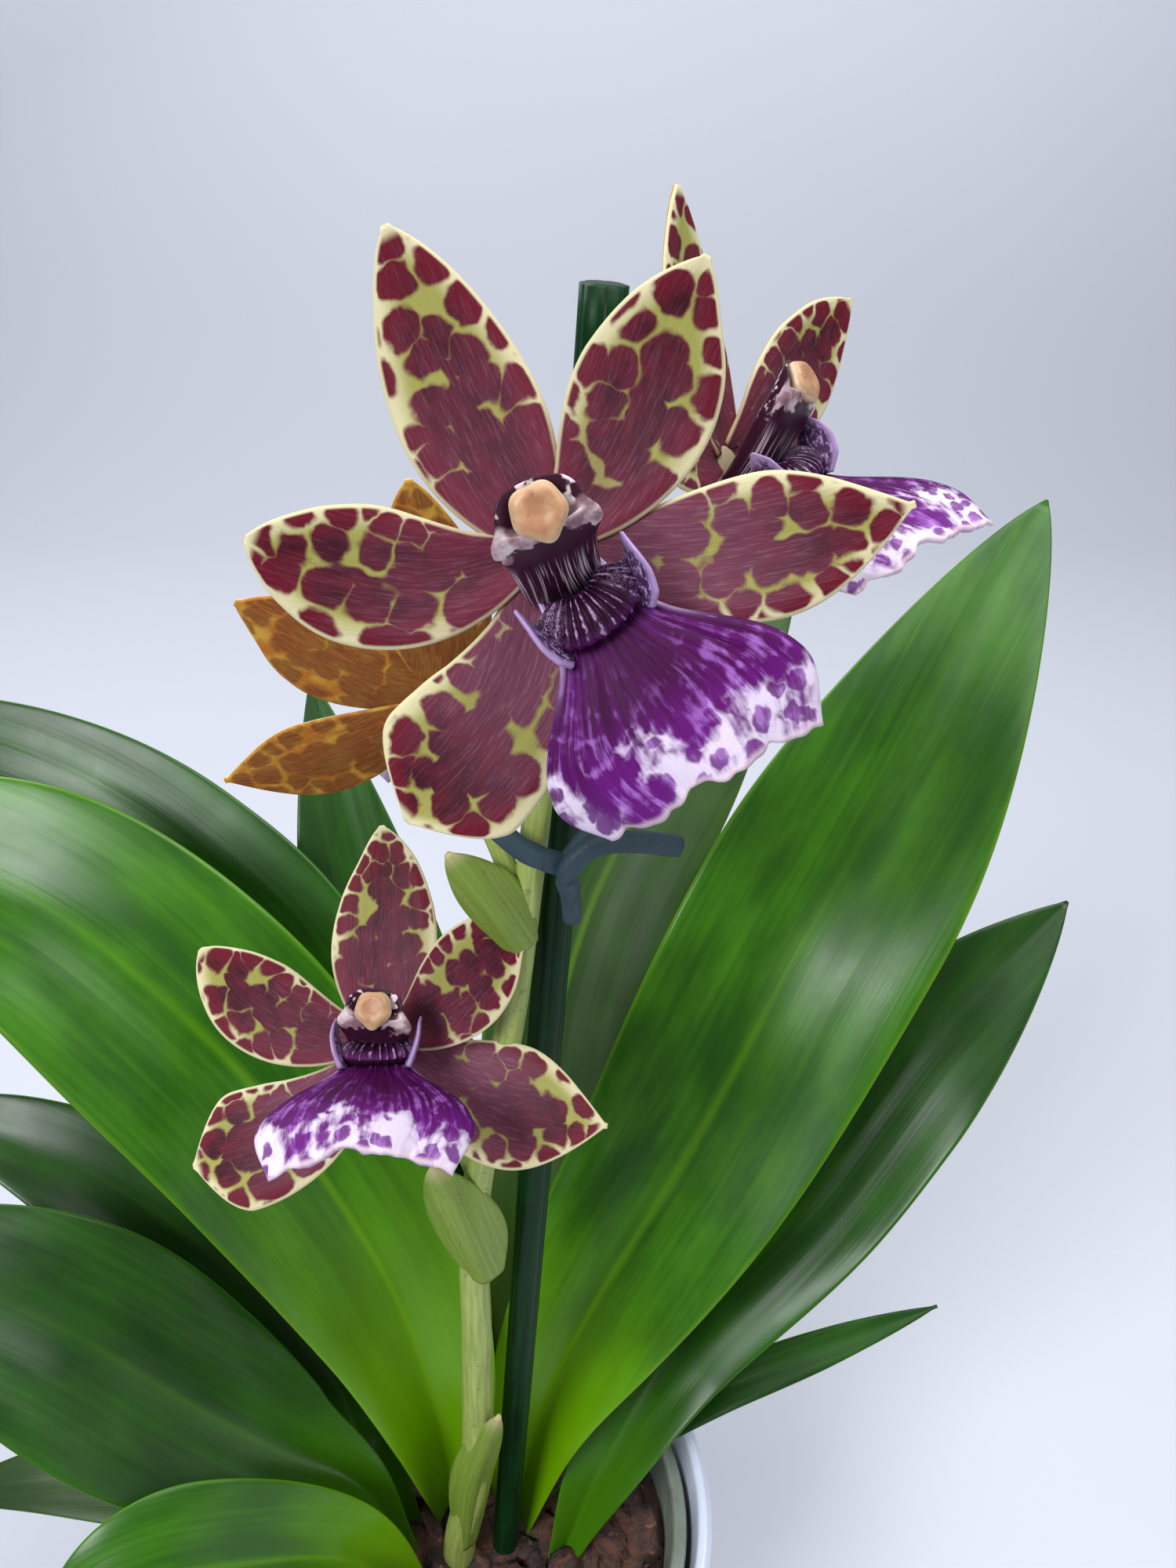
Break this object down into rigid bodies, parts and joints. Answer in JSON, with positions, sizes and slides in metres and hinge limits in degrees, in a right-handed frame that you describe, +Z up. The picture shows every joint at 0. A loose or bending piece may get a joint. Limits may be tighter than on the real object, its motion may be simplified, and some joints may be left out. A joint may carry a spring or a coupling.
{
  "type": "potted orchid plant",
  "caption": "Flowering orchid in a white pot: strap leaves, a staked spike and blotched blooms with fan lips.",
  "frame": {"origin": "middle of the cover pot's flat underside", "axes": "+Z up out of the pot, -Y towards the side that the blooms face, +X to the viewer's right"},
  "size_m": [0.3295, 0.2051, 0.3976],
  "materials": {
    "white_pot": "smooth white glaze",
    "grow_pot": "thin translucent grey-green plastic",
    "bark": "damp dark chunks",
    "leaf": "glossy, closely veined",
    "bulb": "smooth, ribbed",
    "stem": "smooth, with a bloom and papery bracts",
    "stake": "ribbed green plastic",
    "tie": "dark rubber over wire",
    "tepal": "waxy, maroon blotches on yellow-green",
    "lip": "velvety violet, mottled white at the margin",
    "column": "waxy dark purple with pale marks",
    "cap": "waxy peach"
  },
  "bodies": {
    "root": {"bloom_top_tepals": "tepal", "bloom_top_lip": "lip", "bloom_top_column": "column", "bloom_top_cap": "cap", "bloom_right_tepals": "tepal", "bloom_right_lip": "lip", "bloom_right_column": "column", "bloom_right_cap": "cap", "bloom_left_tepals": "tepal", "bloom_left_lip": "lip", "bloom_left_column": "column", "bloom_left_cap": "cap", "bloom_low_tepals": "tepal", "bloom_low_lip": "lip", "bloom_low_column": "column", "bloom_low_cap": "cap", "stake": "stake", "flower_spike": "stem", "plant_tie": "tie", "leaf_right_tall": "leaf", "leaf_right_low": "leaf", "leaf_right_small": "leaf", "leaf_back_right": "leaf", "leaf_back_left": "leaf", "leaf_left_back": "leaf", "leaf_left_tall": "leaf", "leaf_left_middle": "leaf", "leaf_left_low": "leaf", "leaf_left_under": "leaf", "leaf_front": "leaf", "pseudobulb_back": "bulb", "pseudobulb_left": "bulb", "cover_pot": "white_pot", "grow_pot": "grow_pot", "potting_bark": "bark"}
  },
  "joints": []
}
